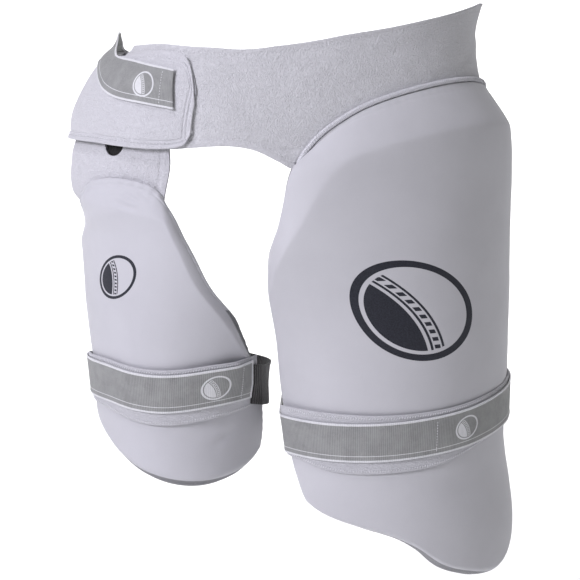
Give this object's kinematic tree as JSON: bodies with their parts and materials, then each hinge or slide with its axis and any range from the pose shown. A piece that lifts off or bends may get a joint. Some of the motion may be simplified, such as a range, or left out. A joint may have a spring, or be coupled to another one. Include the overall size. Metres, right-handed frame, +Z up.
{
  "type": "cricket thigh guard",
  "caption": "Batting thigh guard on a waist belt: a large moulded outer thigh pad and a smaller inner thigh pad, each held round the leg by an elastic strap.",
  "frame": {"origin": "the centre of the waist, level with the middle of the belt, where the guard sits on the wearer", "axes": "+Z up along the wearer, +Y towards the wearer's back, +X towards the wearer's left; the picture looks along +Y at the wearer's front"},
  "size_m": [0.4201, 0.2865, 0.5279],
  "materials": {
    "belt_fleece": "brushed",
    "flap_fleece": "brushed",
    "pad_cover": "satin",
    "edge_piping": "matte",
    "loop_cloth": "brushed",
    "grey_elastic": "matte",
    "dark_hook": "matte"
  },
  "bodies": {
    "root": {"waist_band": "belt_fleece", "closure_flap": "flap_fleece", "hip_strap": "grey_elastic", "inner_pad_hanger": "belt_fleece", "hook_patch": "dark_hook", "outer_thigh_pad": "pad_cover", "inner_thigh_pad": "pad_cover", "outer_pad_piping": "edge_piping", "outer_loop_strip": "loop_cloth", "inner_loop_strip": "loop_cloth", "outer_thigh_strap": "grey_elastic", "inner_thigh_strap": "grey_elastic", "inner_hook_strap": "dark_hook"}
  },
  "joints": []
}
